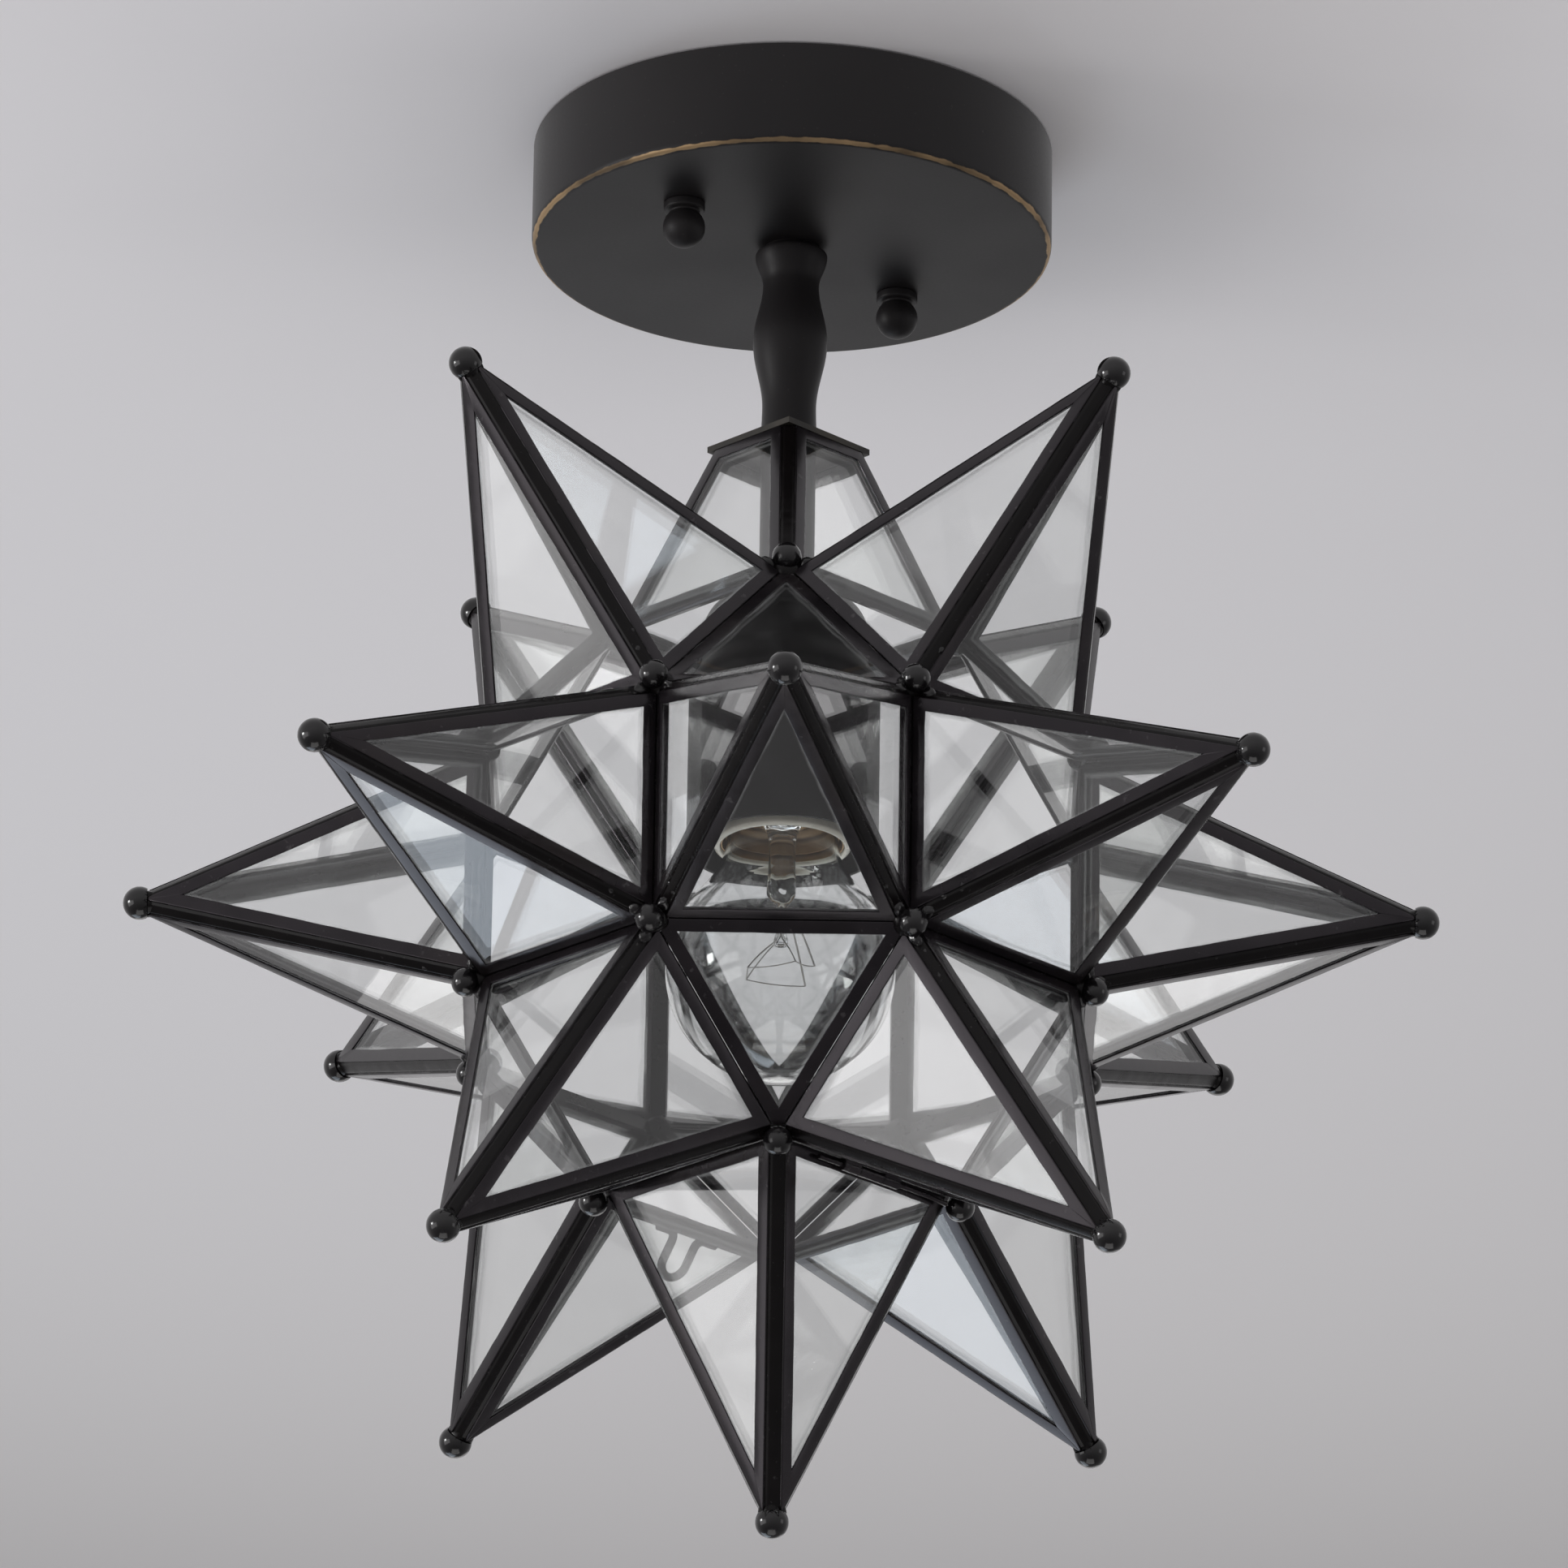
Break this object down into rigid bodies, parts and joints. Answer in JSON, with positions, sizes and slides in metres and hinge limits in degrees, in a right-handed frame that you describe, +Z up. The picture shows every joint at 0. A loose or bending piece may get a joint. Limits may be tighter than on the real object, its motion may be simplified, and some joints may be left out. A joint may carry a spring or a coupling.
{
  "type": "star ceiling light",
  "caption": "Semi-flush ceiling light: a many-pointed star of clear glass panes in soldered black metal frames, on a short turned stem under a round canopy, with a relamping door.",
  "frame": {"origin": "centre of the crossbar's upper face, which lies in the plane of the ceiling and of the canopy's rim", "axes": "+Z up, through the ceiling; -Y towards the viewer of the picture; +X to that viewer's right"},
  "size_m": [0.2976, 0.2976, 0.3377],
  "materials": {
    "black_metal": "satin",
    "bronze_plate": "satin",
    "came_metal": "satin",
    "solder": "satin",
    "pane_glass": "gloss",
    "lamp_glass": "gloss",
    "zinc_steel": "satin",
    "green_screw": "gloss",
    "brass": "satin",
    "porcelain": "gloss",
    "lead_covering": "matte",
    "black_glass": "gloss",
    "filament_wire": "satin"
  },
  "bodies": {
    "fixture": {"canopy": "black_metal", "crossbar": "zinc_steel", "canopy_studs": "zinc_steel", "stud_nuts": "zinc_steel", "cap_nuts": "black_metal", "ground_screw": "green_screw", "threaded_rod": "zinc_steel", "rod_nuts": "zinc_steel", "lead_wires": "lead_covering", "stem": "black_metal", "top_plate": "bronze_plate", "down_tube": "black_metal", "socket_cup": "black_metal", "socket_cap": "brass", "socket_body": "porcelain", "socket_shell": "brass", "socket_contact": "brass", "frustum_frames": "came_metal", "frustum_glass": "pane_glass", "upper_point_1_frames": "came_metal", "upper_point_2_frames": "came_metal", "upper_point_3_frames": "came_metal", "upper_point_4_frames": "came_metal", "belt_point_1_frames": "came_metal", "belt_point_2_frames": "came_metal", "belt_point_3_frames": "came_metal", "belt_point_4_frames": "came_metal", "belt_point_5_frames": "came_metal", "belt_point_6_frames": "came_metal", "belt_point_7_frames": "came_metal", "belt_point_8_frames": "came_metal", "lower_point_1_frames": "came_metal", "lower_point_2_frames": "came_metal", "lower_point_3_frames": "came_metal", "lower_point_4_frames": "came_metal", "upper_point_glass": "pane_glass", "belt_point_glass": "pane_glass", "lower_point_glass": "pane_glass", "upper_seams": "solder", "belt_seams": "solder", "lower_seams": "solder", "triangle_frames": "came_metal", "triangle_glass": "pane_glass", "valley_seams": "solder", "joint_balls": "came_metal", "tip_balls": "came_metal", "fixed_knuckles": "came_metal", "hinge_wire": "came_metal"},
    "door": {"door_frames": "came_metal", "door_seams": "solder", "door_glass": "pane_glass", "door_tip_ball": "came_metal", "door_pull": "came_metal", "door_knuckle": "came_metal"},
    "bulb_lift": {"bulb_contact": "zinc_steel"},
    "bulb": {"bulb_glass": "lamp_glass", "bulb_cap": "brass", "bulb_insulator": "black_glass", "bulb_mount": "lamp_glass", "bulb_filament": "filament_wire"}
  },
  "joints": [
    {"name": "door_hinge", "type": "hinge", "parent": "fixture", "child": "door", "pos_m": [0.02053, -0.02053, -0.25899], "axis": [-0.7071, -0.7071, 0], "range_deg": [0, 75]},
    {"name": "bulb_slide", "type": "slide", "parent": "fixture", "child": "bulb_lift", "axis": [0, 0, -1], "range_m": [0, 0.01089]},
    {"name": "bulb_turn", "type": "hinge", "parent": "bulb_lift", "child": "bulb", "pos_m": [0, 0, -0.1889], "axis": [0, 0, -1], "range_deg": [0, 1080]}
  ],
  "couplings": [
    {"joint": "bulb_turn", "follows": "bulb_slide", "rad_per_m": 1730.9}
  ]
}
